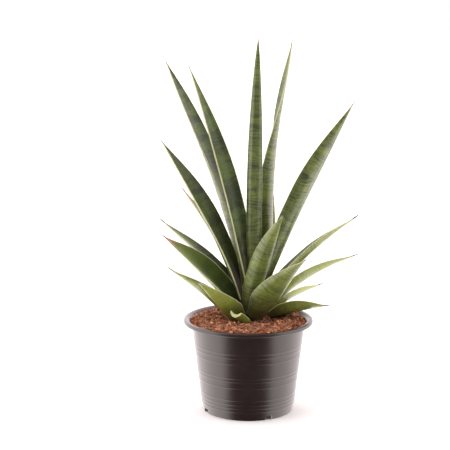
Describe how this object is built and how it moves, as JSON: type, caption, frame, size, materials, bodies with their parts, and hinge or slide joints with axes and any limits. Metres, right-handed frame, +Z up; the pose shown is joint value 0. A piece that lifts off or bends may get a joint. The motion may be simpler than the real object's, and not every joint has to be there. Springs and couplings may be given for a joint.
{
  "type": "potted snake plant",
  "caption": "Snake plant with narrow, pointed, outward-leaning leaves, growing in moist coir in a round tapered nursery pot with a turned-down rim and drain holes.",
  "frame": {"origin": "centre of the flat disc under the pot, on the surface that the pot stands on", "axes": "+Z up along the pot's axis, -Y toward the front of the plant, +X to the right as seen from the front"},
  "size_m": [0.1873, 0.1443, 0.3441],
  "materials": {
    "pot_plastic": "satin injection-moulded black-brown plastic",
    "coir": "moist shredded coconut husk with fibres",
    "stem": "pale fibrous plant tissue",
    "leaf": "waxy green leaf with dark cross bands and a cream margin"
  },
  "bodies": {
    "root": {"nursery_pot": "pot_plastic", "coir_substrate": "coir", "crown_stem": "stem", "leaf_tall_left_outer": "leaf", "leaf_tall_left_inner": "leaf", "leaf_tall_centre": "leaf", "leaf_tall_right_inner": "leaf", "leaf_tall_right_outer": "leaf", "leaf_mid_left": "leaf", "leaf_mid_right": "leaf", "leaf_front_upright": "leaf", "leaf_front_right": "leaf", "leaf_front_left": "leaf", "leaf_low_left_upper": "leaf", "leaf_low_left": "leaf", "leaf_bottom_left": "leaf", "leaf_low_right": "leaf", "leaf_bottom_right_rear": "leaf", "leaf_bottom_right": "leaf", "leaf_back_left": "leaf", "leaf_back_right": "leaf", "leaf_rear_low_right": "leaf", "leaf_rear_low_left": "leaf", "leaf_stub": "leaf"}
  },
  "joints": []
}
